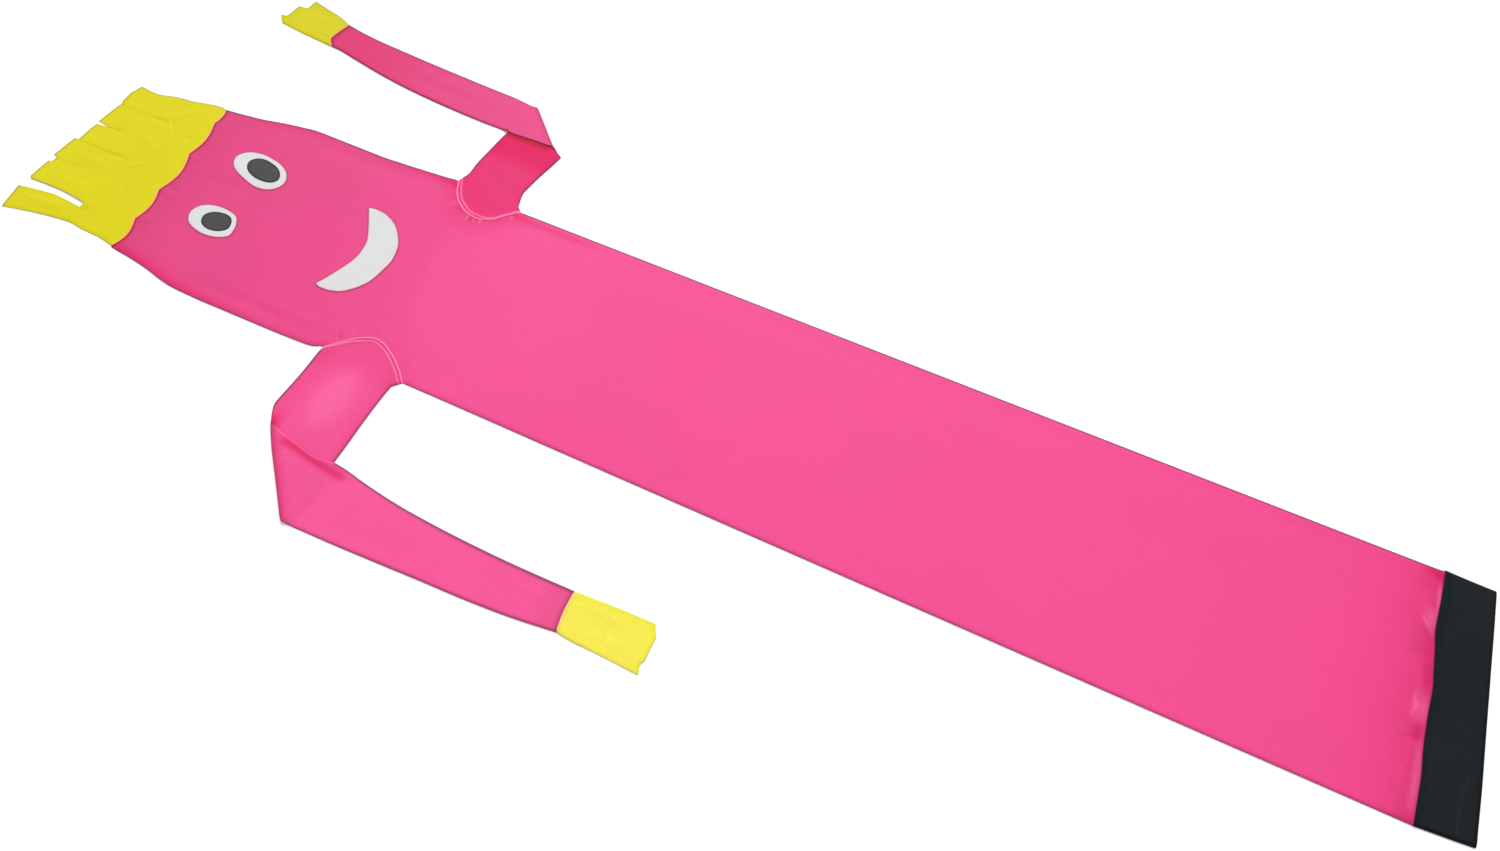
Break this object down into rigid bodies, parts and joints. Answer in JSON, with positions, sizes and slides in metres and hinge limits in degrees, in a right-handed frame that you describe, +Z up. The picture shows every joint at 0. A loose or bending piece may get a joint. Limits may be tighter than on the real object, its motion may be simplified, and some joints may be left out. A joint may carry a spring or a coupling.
{
  "type": "inflatable air dancer, deflated and laid flat",
  "caption": "Deflated air dancer lying flat on its back: long pink sleeve body with a smiling face, cut-strip yellow hair, folded arms with yellow hands, and a black blower collar.",
  "frame": {"origin": "middle of the collar's open mouth, at the level of the surface that the cloth lies on", "axes": "+X across the dancer towards its raised left arm, +Y from the collar's mouth to the tips of the hair, +Z up from the surface"},
  "size_m": [1.1925, 3.109, 0.0118],
  "materials": {
    "pink_nylon": "coated woven nylon, soft sheen",
    "yellow_nylon": "coated woven nylon, soft sheen",
    "black_collar": "heavier woven nylon, matte",
    "white_patch": "woven nylon, matte",
    "dark_patch": "woven nylon, matte"
  },
  "bodies": {
    "root": {"collar": "black_collar", "body": "pink_nylon", "hair": "yellow_nylon", "left_arm": "pink_nylon", "right_arm": "pink_nylon", "left_hand": "yellow_nylon", "right_hand": "yellow_nylon", "left_eye": "white_patch", "right_eye": "white_patch", "left_pupil": "dark_patch", "right_pupil": "dark_patch", "smile": "white_patch"}
  },
  "joints": []
}
